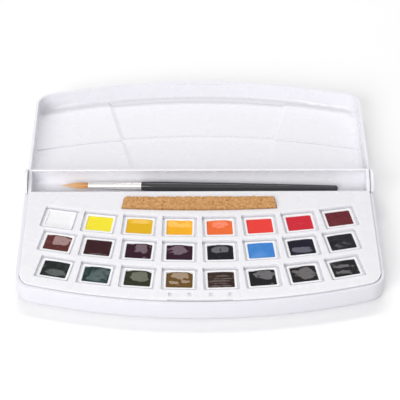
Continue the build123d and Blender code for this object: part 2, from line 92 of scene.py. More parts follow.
class NodeBoard:
    """Node tree of a material or of the world, with short ways to add and join nodes."""

    def __init__(self, owner: Material | bpy.types.World, shader: str) -> None:
        """Switches on the nodes of a material or world, and finds its shader by name."""
        owner.use_nodes = True
        self.owner = owner
        self.tree = owner.node_tree
        self.shader = self.tree.nodes[shader]

    @classmethod
    def material(cls, name: str) -> "NodeBoard":
        """Board of a new material with a principled shader."""
        return cls(bpy.data.materials.new(name), "Principled BSDF")

    @cached_property
    def coordinates(self) -> Socket:
        """Coordinates of the object itself."""
        return self.add("ShaderNodeTexCoord").outputs["Object"]

    def give(self, target: Socket, value: object) -> None:
        """Joins an output to an input, or sets the input to a plain value."""
        if isinstance(value, Socket):
            self.tree.links.new(value, target)
        else:
            target.default_value = value

    def add(self, kind: str, **values: object) -> bpy.types.Node:
        """Adds a node and gives it its properties, and its inputs by their names.

        Args:
            kind: Type of the node.
            values: Properties and inputs, with the inputs' spaces written as underscores.

        Returns:
            The new node.
        """
        node = self.tree.nodes.new(kind)
        for key, value in values.items():
            name = key.replace("_", " ")
            if name in node.inputs:
                self.give(node.inputs[name], value)
            else:
                setattr(node, key, value)
        return node

    def shade(self, **values: object) -> None:
        """Gives the shader its inputs by their names, with spaces written as underscores."""
        for key, value in values.items():
            self.give(self.shader.inputs[key.replace("_", " ")], value)

    def stretched(self, scale: Triple, turn: float = 0.0) -> Socket:
        """Object coordinates scaled along each axis and turned about Z, in degrees."""
        return self.add("ShaderNodeMapping", Vector=self.coordinates, Scale=scale,
                        Rotation=(0, 0, math.radians(turn))).outputs["Vector"]

    def noise(self, per_metre: float, detail: float = 4.0, where: Socket | None = None,
              distortion: float = 0.0) -> Socket:
        """Adds a noise pattern.

        Args:
            per_metre: Number of its lumps in a metre.
            detail: Number of its finer layers.
            where: Coordinates, if not the plain object's.
            distortion: How far it is swirled.

        Returns:
            The value from 0 to 1.
        """
        return self.add("ShaderNodeTexNoise", Vector=where or self.coordinates, Scale=per_metre,
                        Detail=detail, Distortion=distortion).outputs["Fac"]

    def ranged(self, value: Socket, low: float, high: float, start: float = 0.3,
               end: float = 0.7) -> Socket:
        """Spreads a pattern's middle values from low to high.

        Args:
            value: The pattern.
            low: What start becomes.
            high: What end becomes.
            start: Lower value of the pattern.
            end: Higher value of the pattern.

        Returns:
            The new value.
        """
        return self.add("ShaderNodeMapRange", Value=value, From_Min=start, From_Max=end,
                        To_Min=low, To_Max=high).outputs["Result"]

    def combine(self, how: Sum, first: Socket, second: Socket, clamp: bool = False) -> Socket:
        """Combines two values, and keeps the result from 0 to 1 if told to clamp it."""
        node = self.add("ShaderNodeMath", operation=how.value, use_clamp=clamp)
        self.give(node.inputs[0], first)
        self.give(node.inputs[1], second)
        return node.outputs[0]

    def blend(self, share: Socket, first: Colour | Socket, second: Colour) -> Socket:
        """Mixes two colours: the first where the share is 0, the second where it is 1."""
        mix = self.add("ShaderNodeMix", data_type="RGBA")
        self.give(mix.inputs[MIX_SHARE], share)
        self.give(mix.inputs[MIX_FIRST], first if isinstance(first, Socket) else (*first, 1))
        self.give(mix.inputs[MIX_SECOND], (*second, 1))
        return mix.outputs[MIX_RESULT]

    def relief(self, height: Socket, depth_mm: float, strength: float) -> None:
        """Gives the shader a bump of a pattern, with its depth in millimetres."""
        bump = self.add("ShaderNodeBump", Height=height, Strength=strength,
                        Distance=depth_mm * MM)
        self.shade(Normal=bump.outputs["Normal"])


@dataclass(frozen=True)
class MouldedPlastic:
    """Smooth white moulding with faint clouds in its colour and its gloss.

    Attributes:
        name: Name of the material.
        colour: Main colour.
        cloud: Colour of its slightly darker places.
        gloss: Lowest roughness.
        satin: Highest roughness.
        glow: How much light passes under its surface.
    """

    name: str
    colour: Colour
    cloud: Colour
    gloss: float
    satin: float
    glow: float

    def make(self) -> Material:
        """Makes the material."""
        board = NodeBoard.material(self.name)
        clouds = board.ranged(board.noise(per_metre=14, detail=3), low=0, high=1)
        board.shade(
            Base_Color=board.blend(clouds, self.colour, self.cloud),
            Roughness=board.ranged(board.noise(per_metre=90, detail=5), self.gloss, self.satin),
            Specular_IOR_Level=0.4, Subsurface_Weight=self.glow, Subsurface_Scale=0.004,
            Subsurface_Radius=(1.0, 0.97, 1.0))
        return board.owner


@dataclass(frozen=True)
class Lacquer:
    """Black gloss lacquer on wood, whose grain shows as a faint relief.

    Attributes:
        name: Name of the material.
        colour: Main colour.
        grain: Colour of the wood's grain.
    """

    name: str = "brush_lacquer"
    colour: Colour = (0.006, 0.005, 0.008)
    grain: Colour = (0.010, 0.009, 0.013)

    def make(self) -> Material:
        """Makes the material."""
        board = NodeBoard.material(self.name)
        lines = board.noise(per_metre=1500, where=board.stretched((0.04, 1, 1)))
        board.shade(
            Base_Color=board.blend(board.ranged(lines, low=0, high=1), self.colour, self.grain),
            Roughness=board.ranged(board.noise(per_metre=260), low=0.05, high=0.08),
            Specular_IOR_Level=0.8)
        board.relief(lines, depth_mm=0.003, strength=0.1)
        return board.owner


@dataclass(frozen=True)
class PlatedMetal:
    """Polished nickel plate with fine rings from its turning.

    Attributes:
        name: Name of the material.
        colour: Main colour.
        ring: Colour of the rings.
    """

    name: str = "brush_metal"
    colour: Colour = (0.88, 0.86, 0.84)
    ring: Colour = (0.80, 0.78, 0.76)

    def make(self) -> Material:
        """Makes the material."""
        board = NodeBoard.material(self.name)
        rings = board.noise(per_metre=2400, detail=2, where=board.stretched((1, 0.02, 0.02)))
        board.shade(
            Base_Color=board.blend(board.ranged(rings, low=0, high=1), self.colour, self.ring),
            Roughness=board.ranged(board.noise(per_metre=160, detail=3), low=0.1, high=0.18),
            Metallic=1.0)
        board.relief(rings, depth_mm=0.002, strength=0.15)
        return board.owner


@dataclass(frozen=True)
class GoldenHair:
    """Synthetic hair: orange-tan in the ferrule, golden in the belly and pale at the point.

    Attributes:
        name: Name of the material.
        root_x: Place of the hair's root along X.
        point_x: Place of its point along X.
        uneven: How far the colours reach past each other, in shares of the length.
        stops: Its colours by their share of the length from the root.
    """

    name: str = "brush_hair"
    root_x: float = -75.7
    point_x: float = -94.9
    uneven: float = 0.16
    stops: tuple[tuple[float, Colour], ...] = (
        (0.0, linear(216, 150, 92)),
        (0.25, linear(248, 192, 126)),
        (0.6, linear(254, 214, 164)),
        (1.0, linear(254, 232, 206)),
    )

    def make(self) -> Material:
        """Makes the material."""
        board = NodeBoard.material(self.name)
        split = board.add("ShaderNodeSeparateXYZ", Vector=board.coordinates)
        along = board.ranged(split.outputs["X"], low=0, high=1, start=self.root_x * MM,
                             end=self.point_x * MM)
        strands = board.noise(per_metre=1400, detail=3, where=board.stretched((0.08, 1, 1)))
        shift = board.ranged(strands, -self.uneven, self.uneven)
        ramp = board.add("ShaderNodeValToRGB", Fac=board.combine(Sum.ADD, along, shift))
        elements = ramp.color_ramp.elements
        while len(elements) < len(self.stops):
            elements.new(0.5)
        for element, (position, colour) in zip(elements, self.stops):
            element.position = position
            element.color = (*colour, 1)
        board.shade(Base_Color=ramp.outputs["Color"], Roughness=0.42, Specular_IOR_Level=0.4,
                    Sheen_Weight=0.15)
        return board.owner


@dataclass(frozen=True)
class SpongeFoam:
    """Tan sponge with fine darker mottling and painted shade in its pores, darkest where the
    mesh's own depth attribute marks a place as sunk deepest.

    Attributes:
        name: Name of the material.
        crest: Colour of its lightest places.
        body: Colour between the pores.
        pore: Colour of the painted shade in the pores, also used for the fine darker mottling.
    """

    name: str = "sponge"
    crest: Colour = linear(222, 174, 120)
    body: Colour = linear(192, 142, 88)
    # Painted shade: the colour laid in the pores by their depth, and in the fine random mottling.
    pore: Colour = linear(150, 98, 54)

    def make(self) -> Material:
        """Makes the material."""
        board = NodeBoard.material(self.name)
        depth = board.add("ShaderNodeAttribute", attribute_name=PORE_SHADE_ATTRIBUTE).outputs["Fac"]
        fine = board.noise(per_metre=1500, detail=5)
        patches = board.ranged(board.noise(per_metre=520, detail=6), low=0, high=1, start=0.36,
                               end=0.64)
        # Painted shade in the pores by their depth, added to fine random mottling.
        grain_and_pore_shade = board.combine(Sum.ADD, board.ranged(fine, low=-0.2, high=0.45), depth, clamp=True)
        skin = board.blend(patches, self.crest, self.body)
        board.shade(Base_Color=board.blend(grain_and_pore_shade, skin, self.pore), Roughness=0.95,
                    Specular_IOR_Level=0.15)
        board.relief(fine, depth_mm=0.25, strength=0.7)
        return board.owner


@dataclass(frozen=True)
class DriedPaint:
    """Cake of watercolour with a glazed, unevenly shining skin.

    Attributes:
        name: Name of the pigment, as the record's slot has it.
        colour: Its main colour.
        streak: Colour of the thinner places and brush marks.
        gloss: Lowest roughness.
        dull: Highest roughness.
        marks: How strongly the brush marks show.
        turn: Direction of the marks in degrees.
        sheen: How strongly the skin reflects.
        tinting: How far the reflection takes on the pigment's colour.
    """

    name: str
    colour: Colour
    streak: Colour
    gloss: float = 0.16
    dull: float = 0.42
    marks: float = 0.5
    turn: float = 0.0
    sheen: float = 0.18
    tinting: float = 0.25

    def make(self) -> Material:
        """Makes the material."""
        board = NodeBoard.material(f"paint_{self.name}")
        lines = board.stretched((0.16, 1.0, 1.0), self.turn)
        brushed = board.noise(per_metre=900, where=lines, distortion=0.4)
        clouds = board.noise(per_metre=210, distortion=0.6)
        thin = board.combine(
            Sum.MULTIPLY, board.ranged(brushed, low=0, high=1, start=0.38, end=0.72),
            board.ranged(clouds, low=0.1, high=self.marks + 0.1), clamp=True)
        brightest = max(self.colour)
        tint = [1 - self.tinting + self.tinting * part / brightest for part in self.colour]
        board.shade(
            Base_Color=board.blend(thin, self.colour, self.streak),
            Roughness=board.ranged(clouds, self.gloss, self.dull),
            Specular_IOR_Level=self.sheen, Specular_Tint=(*tint, 1))
        board.relief(brushed, depth_mm=0.03 * self.marks, strength=0.4)
        return board.owner


class Parts(Enum):
    """What edit mode selects, each with its name in a mesh."""

    VERT = "vertices"
    EDGE = "edges"
    FACE = "polygons"


def deselect() -> None:
    """Deselects every object."""
    bpy.ops.object.select_all(action="DESELECT")


def pick(piece: Piece) -> None:
    """Selects one object alone and makes it the active one."""
    deselect()
    piece.select_set(True)
    bpy.context.view_layer.objects.active = piece


def remove(piece: Piece) -> None:
    """Deletes an object."""
    pick(piece)
    bpy.ops.object.delete()


@contextmanager
def editing(piece: Piece, kind: Parts = Parts.VERT,
            test: Callable[[object], bool] = lambda part: False) -> Iterator[None]:
    """Edit mode with the vertices, edges or faces that pass a test selected.

    Args:
        piece: Object to edit.
        kind: What is selected.
        test: Says which of them.
    """
    bpy.context.view_layer.objects.active = piece
    bpy.ops.object.mode_set(mode="EDIT")
    bpy.ops.mesh.select_mode(type=kind.name)
    bpy.ops.mesh.select_all(action="DESELECT")
    bpy.ops.object.mode_set(mode="OBJECT")
    for part in getattr(piece.data, kind.value):
        part.select = test(part)
    bpy.ops.object.mode_set(mode="EDIT")
    yield
    bpy.ops.object.mode_set(mode="OBJECT")


def apply_modifier(piece: Piece, kind: str, **values: object) -> None:
    """Adds a modifier with its properties and applies it."""
    pick(piece)
    modifier = piece.modifiers.new(kind.lower(), kind)
    for key, value in values.items():
        setattr(modifier, key, value)
    bpy.ops.object.modifier_apply(modifier=modifier.name)


def brick(size: Triple, centre: Triple) -> Piece:
    """Makes a block with its place and size, in millimetres, in its mesh."""
    deselect()
    bpy.ops.mesh.primitive_cube_add(size=1, location=[place * MM for place in centre])
    piece = bpy.context.object
    piece.scale = [side * MM for side in size]
    bpy.ops.object.transform_apply()
    return piece


def settle(piece: Piece, name: str) -> None:
    """Names a piece and moves its place into its mesh, so that the object is at the origin."""
    pick(piece)
    bpy.ops.object.transform_apply()
    piece.name = name
    piece.data.name = name


def places(piece: Piece) -> np.ndarray:
    """Places of a mesh's vertices, one row each."""
    flat = np.zeros(len(piece.data.vertices) * 3)
    piece.data.vertices.foreach_get("co", flat)
    return flat.reshape(-1, 3)


def move_to(piece: Piece, points: np.ndarray) -> None:
    """Moves a mesh's vertices to new places."""
    piece.data.vertices.foreach_set("co", points.ravel())
    piece.data.update()


def tell(piece: Piece) -> None:
    """Reports how many faces a piece has."""
    LOG.info("%s: %d faces", piece.name, len(piece.data.polygons))


@dataclass
class HalfPan:
    """Plastic half pan with a flanged rim, a tapered body and sharp corners inside.

    Attributes:
        finish: Its plastic.
        rim: Width and depth over the flange.
        rim_thick: Thickness of the flange.
        body_top: Width and depth of the body under the flange.
        body_bottom: Width and depth of the body at its foot.
        height: Height of the body under the flange.
        floor: Thickness of the floor.
        corner: Radius of the outer corners.
        edge: Softening of every other edge.
    """

    finish: Material
    rim: Pair = (19.75, 16.4)
    rim_thick: float = 1.2
    body_top: Pair = (18.5, 15.2)
    body_bottom: Pair = (16.9, 13.6)
    height: float = 8.3
    floor: float = 1.0
    corner: float = 0.9
    edge: float = 0.11

    def model(self) -> Piece:
        """Makes the pan that is copied, with the middle of its rim at the origin."""
        pan = brick((*self.rim, self.rim_thick), (0, 0, -self.rim_thick / 2))
        with editing(pan, Parts.FACE, lambda face: face.normal.z < -0.5):
            self.step(self.rim, self.body_top, 0)
            self.step(self.body_top, self.body_bottom, -self.height)
        points = places(pan)
        with editing(pan, Parts.EDGE, lambda line: self.is_upright(points[list(line.vertices)])):
            bpy.ops.mesh.bevel(offset=self.corner * MM, segments=4, affect="EDGES")
        with editing(pan, Parts.FACE, lambda face: face.normal.z > 0.5):
            self.step(self.rim, PAN_INSIDE, 0)
            self.step(PAN_INSIDE, PAN_FLOOR_INSIDE, self.floor - self.height - self.rim_thick)
            bpy.ops.mesh.select_all(action="DESELECT")
            bpy.ops.mesh.select_mode(type="EDGE")
            bpy.ops.mesh.edges_select_sharp(sharpness=math.radians(50))
            bpy.ops.mesh.bevel(offset=self.edge * MM, segments=2, affect="EDGES")
        bpy.ops.object.shade_smooth_by_angle(angle=math.radians(35))
        pan.data.materials.append(self.finish)
        return pan

    @staticmethod
    def step(start: Pair, end: Pair, rise: float) -> None:
        """Extrudes the selected face by a rise in millimetres, from one size to another."""
        bpy.ops.mesh.extrude_region_move(TRANSFORM_OT_translate={"value": (0, 0, rise * MM)})
        bpy.ops.transform.resize(value=(end[0] / start[0], end[1] / start[1], 1))

    @staticmethod
    def is_upright(ends: np.ndarray) -> bool:
        """Whether an edge's two ends lie more than half a millimetre apart in height."""
        return bool(abs(ends[0][2] - ends[1][2]) > 0.5 * MM)

    @staticmethod
    def seat(model: Piece, number: int, turn: float) -> Piece:
        """Copies the model, turns the copy about the vertical and puts it in its socket."""
        node = f"half_pan_{number:02d}"
        low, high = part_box(node)
        middle = (low + high) / 2
        pick(model)
        bpy.ops.object.duplicate(linked=False)
        pan = bpy.context.object
        pan.location = (middle.x, middle.y, high.z)
        pan.rotation_euler = (0, 0, turn)
        settle(pan, f"pan_{number:02d}_shell")
        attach(pan, f"pan_{number:02d}")
        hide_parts(node)
        return pan


@dataclass(frozen=True)
class Lean:
    """Patch of a cake's skin that leans toward the front and so catches the light from above.

    Attributes:
        place: Its middle, in shares of half the cake, to the right and to the rear.
        reach: Its half width and half depth in the same shares.
        ragged: How torn its outline is.
        degrees: How much it leans.
        turn: Its turn in degrees.
        squareness: Power of its rounded outline, where 2 is an ellipse.
        fade: Width of its soft edge, as a share of its reach.
        tears: Number of tears in its outline over half the cake.
    """

    place: Pair
    reach: Pair
    ragged: float = 0.3
    degrees: float = 6.0
    turn: float = 0.0
    squareness: float = 2.8
    fade: float = 0.12
    tears: float = 2.2

    def share(self, x: float, y: float, seed: float) -> float:
        """How much of the lean a place of the skin has, from 0 to 1."""
        cosine, sine = math.cos(math.radians(self.turn)), math.sin(math.radians(self.turn))
        across, back = x - self.place[0], y - self.place[1]
        along = abs(across * cosine + back * sine) / self.reach[0]
        over = abs(back * cosine - across * sine) / self.reach[1]
        tear = noise.fractal(Vector((x * self.tears, y * self.tears, seed)), 0.75, 2.2, 4)
        distance = (along**self.squareness + over**self.squareness) ** (1 / self.squareness)
        return min(1.0, max(0.0, (1 - distance + self.ragged * tear) / self.fade))


@dataclass
class PaintCake:
    """One cake of dried paint in its half pan.

    Attributes:
        number: Number of the pan, from the rear left.
        finish: Its pigment.
        leans: Patches of its skin that lean toward the front.
        drop: How far its rear corners dried away, in millimetres.
        turn: Turn of its pan about the vertical.
        level: How far the highest place of a leaning skin lies below the rim.
        flat_level: The same for a skin that has no patches.
        wall_depth: Depth of the pan's inside.
        bite: How far the cake goes into the pan's wall.
        wetting: How far its edge rises at the wall.
        sides: Heights of the two bands of its sides, in shares of the wall's depth.
        cells: Number of cells of the skin along its width and depth.
        samples: Number of places along each side where its lean is worked out.
        blur: Number of those places over which the skin evens out sideways.
        pulls: Number of uneven places in its skin.
        pull_reach: Smallest and largest reach of an uneven place.
        lumps: Height of the uneven places in millimetres.
        streaks: Height of its brush marks in millimetres.
    """

    number: int
    finish: DriedPaint
    leans: tuple[Lean, ...]
    drop: float
    turn: float
    level: float = 0.3
    flat_level: float = 0.9
    wall_depth: float = 8.5
    bite: float = 0.03
    wetting: float = 0.12
    sides: Pair = (0.3, 0.4)
    cells: tuple[int, int] = (56, 45)
    samples: int = 60
    blur: int = 13
    pulls: int = 5
    pull_reach: Pair = (1.8, 4.2)
    lumps: float = 0.12
    streaks: float = 0.02

    def build(self) -> Piece:
        """Makes the cake, dresses it and puts it in its pan."""
        cake = self.skin_sheet()
        self.lay_skin(cake)
        self.work_surface(cake)
        self.close_body(cake)
        settle(cake, f"cake_{self.number:02d}")
        bpy.ops.object.shade_smooth_by_angle(angle=math.radians(40))
        cake.data.materials.append(self.finish.make())
        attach(cake, f"pan_{self.number:02d}")
        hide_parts(f"paint_{self.number:02d}")
        return cake

    def skin_sheet(self) -> Piece:
        """Level sheet at the height of the pan's rim, turned like its pan."""
        low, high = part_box(f"half_pan_{self.number:02d}")
        middle = (low + high) / 2
        deselect()
        bpy.ops.mesh.primitive_grid_add(
            x_subdivisions=self.cells[0], y_subdivisions=self.cells[1], size=1,
            location=(middle.x, middle.y, high.z), rotation=(0, 0, self.turn))
        cake = bpy.context.object
        width, depth = ((side + 2 * self.bite) * MM for side in PAN_INSIDE)
        cake.scale = (width, depth, 1)
        bpy.ops.object.transform_apply(location=False, rotation=False, scale=True)
        return cake

    def heights(self) -> np.ndarray:
        """Heights of the skin in millimetres, in rows from the front to the rear."""
        side = np.linspace(-1, 1, self.samples)
        slope = np.zeros((self.samples, self.samples))
        for lean in self.leans:
            patch = [[lean.share(x, y, self.number * 1.7) for x in side] for y in side]
            slope += math.tan(math.radians(lean.degrees)) * np.array(patch)
        skin = np.cumsum(slope, axis=0) * PAN_INSIDE[1] / self.samples
        kernel = np.hanning(self.blur + 2)[1:-1]
        kernel /= kernel.sum()
        padded = np.pad(skin, ((0, 0), (self.blur // 2, self.blur // 2)), mode="edge")
        skin = np.array([np.convolve(line, kernel, mode="valid") for line in padded])
        across, back = np.meshgrid(side, side)
        beside = np.clip((np.abs(across) - 0.5) / 0.5, 0, 1) ** 1.6
        behind = np.clip((back - 0.1) / 0.9, 0, 1) ** 1.3
        return skin - self.drop * (beside * behind)

    def lay_skin(self, cake: Piece) -> None:
        """Gives the sheet its leaning patches and sinks it into the pan."""
        skin = self.heights()
        skin -= skin.max() + (self.level if self.leans else self.flat_level)
        points = places(cake)
        place = [np.clip(points[:, axis] / (PAN_INSIDE[axis] * MM) + 0.5, 0, 1)
                 * (self.samples - 1.001) for axis in range(2)]
        column, row = (value.astype(int) for value in place)
        right, back = place[0] - column, place[1] - row
        front_line = skin[row, column] * (1 - right) + skin[row, column + 1] * right
        rear_line = skin[row + 1, column] * (1 - right) + skin[row + 1, column + 1] * right
        points[:, 2] += (front_line * (1 - back) + rear_line * back) * MM
        move_to(cake, points)

    @staticmethod
    def pull(cake: Piece, place: Pair, rise: float, reach: float) -> None:
        """Raises or sinks the skin round a place, as a thumb would.

        Args:
            cake: The sheet.
            place: Place on it in metres from its middle.
            rise: Height in metres, negative to sink.
            reach: How far the pull reaches in metres.
        """
        away = ((places(cake)[:, :2] - place) ** 2).sum(axis=1)
        nearest = int(np.argmin(away))
        with editing(cake, test=lambda vertex: vertex.index == nearest):
            bpy.ops.transform.translate(
                value=(0, 0, rise), use_proportional_edit=True,
                proportional_edit_falloff="SMOOTH", proportional_size=reach)

    def work_surface(self, cake: Piece) -> None:
        """Gives the skin its uneven places and its brush marks."""
        rng = random.Random(40 + self.number)
        half_x, half_y = (side * MM / 2 for side in PAN_INSIDE)
        for _ in range(self.pulls):
            place = (rng.uniform(-0.85, 0.85) * half_x, rng.uniform(-0.85, 0.85) * half_y)
            rise = rng.uniform(-1.0, 0.7) * self.lumps * MM
            self.pull(cake, place, rise, rng.uniform(*self.pull_reach) * MM)
        clouds = bpy.data.textures.new(f"clouds_{self.number}", "CLOUDS")
        clouds.noise_scale = 0.0034
        clouds.noise_depth = 1
        self.displace(cake, clouds, 0.7 * self.lumps)
        marks = bpy.data.textures.new(f"marks_{self.number}", "WOOD")
        marks.wood_type = "BANDNOISE"
        marks.noise_scale = 0.004
        marks.turbulence = 6.0
        self.displace(cake, marks, self.streaks * self.finish.marks * 2)

    @staticmethod
    def displace(cake: Piece, texture: bpy.types.Texture, height_mm: float) -> None:
        """Raises the skin by a texture at its own place in the box."""
        apply_modifier(cake, "DISPLACE", texture=texture, texture_coords="GLOBAL",
                       direction="Z", mid_level=0.5, strength=height_mm * MM)

    def close_body(self, cake: Piece) -> None:
        """Draws the skin's edge up to the wall, then down to the floor, and closes the bottom."""
        with editing(cake, Parts.EDGE):
            bpy.ops.mesh.select_non_manifold()
            bpy.ops.transform.translate(value=(0, 0, self.wetting * MM))
            for share in self.sides:
                down = (0, 0, -share * self.wall_depth * MM)
                bpy.ops.mesh.extrude_region_move(TRANSFORM_OT_translate={"value": down})
            bpy.ops.transform.resize(value=(1, 1, 0))
        self.taper(cake)
        with editing(cake, Parts.EDGE):
            bpy.ops.mesh.select_non_manifold()
            bpy.ops.mesh.edge_face_add()
            bpy.ops.mesh.select_all(action="SELECT")
            bpy.ops.mesh.normals_make_consistent(inside=False)

    def taper(self, cake: Piece) -> None:
        """Draws the sides in with the pan's own taper."""
        points = places(cake)
        depth = np.clip(-points[:, 2] / (self.wall_depth * MM), 0, 1)
        for axis in range(2):
            ratio = PAN_FLOOR_INSIDE[axis] / PAN_INSIDE[axis]
            points[:, axis] *= 1 - (1 - ratio) * depth
        move_to(cake, points)


@dataclass
class PaintRows:
    """The three bowed rows of eight half pans and their cakes.

    Attributes:
        plastic: Plastic of the pans.
        radius: Radius of each row's bow, from the rear.
        length: Number of pans in a row.
    """

    plastic: MouldedPlastic = MouldedPlastic(
        "pan_plastic", linear(243, 243, 245), linear(241, 241, 244), 0.22, 0.28, 0.3)
    radius: Triple = (510.0, 465.0, 430.0)
    length: int = 8

    def build(self) -> None:
        """Makes every pan and its cake."""
        half_pan = HalfPan(self.plastic.make())
        model = half_pan.model()
        for number, (finish, leans, drop) in enumerate(self.choices(), start=1):
            low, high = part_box(f"half_pan_{number:02d}")
            x = (low.x + high.x) / 2 / MM
            turn = math.asin(x / self.radius[(number - 1) // self.length])
            tell(half_pan.seat(model, number, turn))
            tell(PaintCake(number, finish, leans, drop, turn).build())
        remove(model)

    @staticmethod
    def choices() -> list[tuple[DriedPaint, tuple[Lean, ...], float]]:
        """Pigment, leaning patches and dried-away corners of each cake, from the rear left."""
        c, paint = linear, DriedPaint
        return [
            (paint("titanium_white", c(236, 236, 238), c(230, 230, 234), 0.2, 0.4, 0.3), (), 0),
            (paint("lemon_yellow", c(236, 220, 44), c(228, 210, 40), 0.3, 0.5, 0.3), (), 0),
            (paint("yellow_ochre_light", c(222, 176, 22), c(212, 164, 16), 0.1, 0.2, 0.4, 8),
             (Lean((0, 0.72), (0.95, 0.3), 0.15),), 0.5),
            (paint("warm_yellow", c(240, 172, 30), c(242, 180, 50), 0.08, 0.16, 0.4, 38),
             (Lean((-0.45, 0.55), (0.6, 0.42), 0.1, 6, -28),
              Lean((0.5, 0.5), (0.6, 0.36), 0.2, 6, 30),
              Lean((0.06, -0.35), (0.55, 0.05), 0.1, -16, 52)), 0),
            (paint("orange", c(232, 104, 50), c(236, 120, 66), 0.08, 0.16, 0.5),
             (Lean((0.05, 0.5), (0.7, 0.46), 0.1),), 0.4),
            (paint("orange_red", c(228, 56, 48), c(218, 44, 42), 0.24, 0.4, 0.4), (), 0),
            (paint("red", c(200, 24, 44), c(182, 18, 40), 0.24, 0.4, 0.5, 90), (), 0),
            (paint("crimson", c(96, 16, 30), c(78, 12, 24), 0.2, 0.36, 0.5), (), 0),
            (paint("red_brown", c(78, 20, 16), c(92, 32, 22), 0.06, 0.12, 0.5, 12, 0.34),
             (Lean((0.0, 0.48), (0.86, 0.62), 0.34),), 0),
            (paint("maroon", c(44, 6, 14), c(56, 12, 22), 0.1, 0.2, 0.4),
             (Lean((0, -0.8), (0.8, 0.1), 0.4, 5),), 0),
            (paint("purple", c(40, 8, 26), c(54, 18, 38), 0.06, 0.12, 0.5, 30),
             (Lean((0.16, 0.4), (0.62, 0.62), 0.3, 6, -12),
              Lean((0.5, -0.7), (0.16, 0.12), 0.3)), 0),
            (paint("violet", c(40, 8, 30), c(56, 20, 44), 0.06, 0.12, 0.5, 18),
             (Lean((-0.02, 0.45), (0.8, 0.6), 0.6),), 0),
            (paint("indigo", c(12, 10, 18), c(26, 24, 34), 0.05, 0.1, 0.5, 40),
             (Lean((0, 0.45), (0.82, 0.4), 0.12), Lean((-0.1, -0.5), (0.09, 0.3), 0.2, 6)), 0.5),
            (paint("sky_blue", c(56, 124, 198), c(74, 140, 208), 0.16, 0.3, 0.5, 10),
             (Lean((0, -0.5), (0.8, 0.4), 0.5, 3.5),), 0),
            (paint("ultramarine", c(10, 8, 24), c(24, 24, 44), 0.08, 0.16, 0.5, 60),
             (Lean((0.05, -0.3), (0.9, 0.36), 0.12, 6.5, -6),), 0),
            (paint("deep_blue", c(10, 10, 18), c(22, 24, 36), 0.14, 0.26, 0.5),
             (Lean((0.0, -0.3), (0.8, 0.3), 0.5, 3.5),), 0),
            (paint("black_green", c(10, 16, 14), c(26, 36, 32), 0.12, 0.22, 0.5),
             (Lean((0, -0.35), (0.75, 0.42), 0.3, 5),), 0),
            (paint("dark_green", c(12, 34, 32), c(40, 66, 62), 0.14, 0.26, 0.9, 20),
             (Lean((0.1, -0.1), (0.75, 0.6), 1.1, 6),), 0),
            (paint("olive", c(30, 32, 14), c(62, 64, 44), 0.06, 0.14, 0.6, 70),
             (Lean((0.08, 0.3), (0.72, 0.62), 0.2, 5.5, 12),), 1.0),
            (paint("ochre_brown", c(96, 66, 14), c(112, 80, 26), 0.05, 0.1, 0.5, 50, 0.3),
             (Lean((0.1, 0.55), (0.66, 0.4), 0.6, 5.5), Lean((-0.4, -0.25), (0.4, 0.18), 0.8, 5.5),
              Lean((0.45, -0.05), (0.35, 0.2), 0.9, 5.5)), 0.9),
            (paint("dark_brown", c(34, 18, 12), c(62, 40, 32), 0.1, 0.2, 1.0),
             tuple(Lean((0, y), (0.85, 0.06), 0.8, 6) for y in (-0.7, -0.4, -0.1, 0.2, 0.5)), 0),
            (paint("charcoal", c(14, 12, 14), c(26, 24, 26), 0.05, 0.1, 0.4, 24),
             (Lean((0.24, 0.46), (0.78, 0.56), 0.12, 5.5, -16),
              Lean((0.05, -0.92), (0.8, 0.05), 0.2)), 0),
            (paint("sepia", c(18, 14, 16), c(34, 28, 30), 0.06, 0.14, 0.6, 35),
             (Lean((0.3, 0.1), (0.6, 0.7), 0.3, 5.5, 30),
              Lean((-0.55, 0.45), (0.2, 0.24), 0.3, 6, -40)), 0),
            (paint("black", c(12, 10, 12), c(28, 25, 26), 0.08, 0.18, 0.7, 8),
             (Lean((0.0, 0.32), (0.8, 0.16), 0.7, 5.5, -8),
              Lean((0.05, -0.4), (0.75, 0.26), 0.8, 5)), 0),
        ]


@dataclass(frozen=True)
class Pores:
    """One size of the sponge's pores.

    Attributes:
        spacing: Distance between them.
        warp: How far their places are shifted.
        narrow: How much narrower than their spacing they are.
        depth: Their depth.
        start: Where their pattern starts.
    """

    spacing: float
    warp: float
    narrow: float
    depth: float
    start: Triple = (0, 0, 0)

    def sink(self, spot: Vector, shift: Vector) -> float:
        """How deep a place lies in the nearest pore."""
        cell = (spot + shift * self.warp) / self.spacing + Vector(self.start)
        return max(0.0, 1 - noise.voronoi(cell)[0][0] * self.narrow) * self.depth


